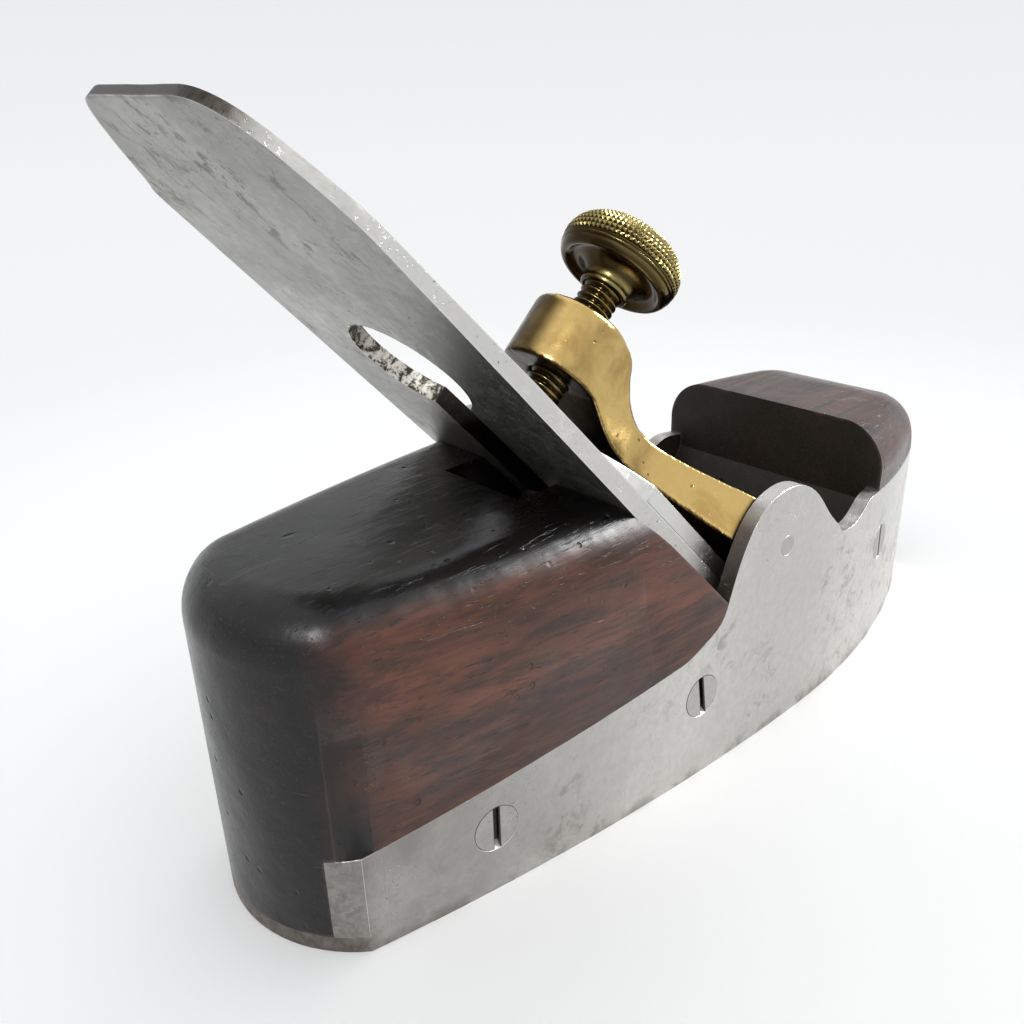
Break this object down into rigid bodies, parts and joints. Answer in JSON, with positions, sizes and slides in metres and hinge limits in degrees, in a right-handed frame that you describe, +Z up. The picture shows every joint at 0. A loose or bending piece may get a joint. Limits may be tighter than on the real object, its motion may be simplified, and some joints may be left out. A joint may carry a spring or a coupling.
{
  "type": "infill smoothing plane",
  "caption": "Coffin-sided steel and rosewood infill smoothing plane with a double iron held by a brass lever cap and a knurled thumbscrew.",
  "frame": {"origin": "on the sole at the mouth, where the plane of the bed meets it, on the plane of symmetry", "axes": "+X along the sole towards the toe, +Y to the plane's left, +Z up"},
  "size_m": [0.1954, 0.0654, 0.1324],
  "materials": {
    "shell_steel": "worn satin with stains and fine scratches",
    "fastener_steel": "filed flush, dull",
    "iron_steel": "aged, pitted, rubbed along its edges",
    "cap_steel": "worn satin",
    "brass": "hand-polished over brown patina",
    "rosewood": "old polish, near black where handled"
  },
  "bodies": {
    "body": {"sole_plate": "shell_steel", "right_side_plate": "shell_steel", "left_side_plate": "shell_steel", "rear_infill": "rosewood", "front_infill": "rosewood", "pivot_pin": "fastener_steel", "right_heel_screw": "fastener_steel", "right_middle_screw": "fastener_steel", "right_toe_screw": "fastener_steel", "left_heel_screw": "fastener_steel", "left_middle_screw": "fastener_steel", "left_toe_screw": "fastener_steel"},
    "iron": {"cutting_iron": "iron_steel"},
    "cap_iron": {"cap_iron": "cap_steel"},
    "cap_screw": {"cap_iron_screw": "cap_steel"},
    "lever_cap": {"lever_cap": "brass"},
    "lever_shank": {"lever_screw": "brass"},
    "lever_knob": {"lever_knob": "brass"}
  },
  "joints": [
    {"name": "lever_knob_turn", "type": "hinge", "parent": "lever_shank", "child": "lever_knob", "pos_m": [-0.03383, 0, 0.09493], "axis": [0.7314, 0, 0.682], "range_deg": [0, 1260]},
    {"name": "lever_screw_travel", "type": "slide", "parent": "lever_cap", "child": "lever_shank", "axis": [0.7314, 0, 0.682], "range_m": [0, 0.005]},
    {"name": "lever_cap_tilt", "type": "hinge", "parent": "body", "child": "lever_cap", "pos_m": [-0.01661, 0, 0.04317], "axis": [0, -1, 0], "range_deg": [0, 6]},
    {"name": "iron_travel", "type": "slide", "parent": "body", "child": "iron", "axis": [-0.682, 0, 0.7314], "range_m": [-0.0005, 0.02]},
    {"name": "cap_iron_travel", "type": "slide", "parent": "iron", "child": "cap_iron", "axis": [-0.6923, 0, 0.7216], "range_m": [-0.0007, 0.015]},
    {"name": "cap_screw_turn", "type": "hinge", "parent": "cap_iron", "child": "cap_screw", "pos_m": [-0.045, 0, 0.05374], "axis": [0.7216, 0, 0.6923], "range_deg": [0, 360]}
  ],
  "couplings": [
    {"joint": "lever_screw_travel", "follows": "lever_knob_turn", "m_per_rad": 0.00022458},
    {"joint": "lever_cap_tilt", "follows": "lever_knob_turn", "ratio": 0.0045279}
  ]
}
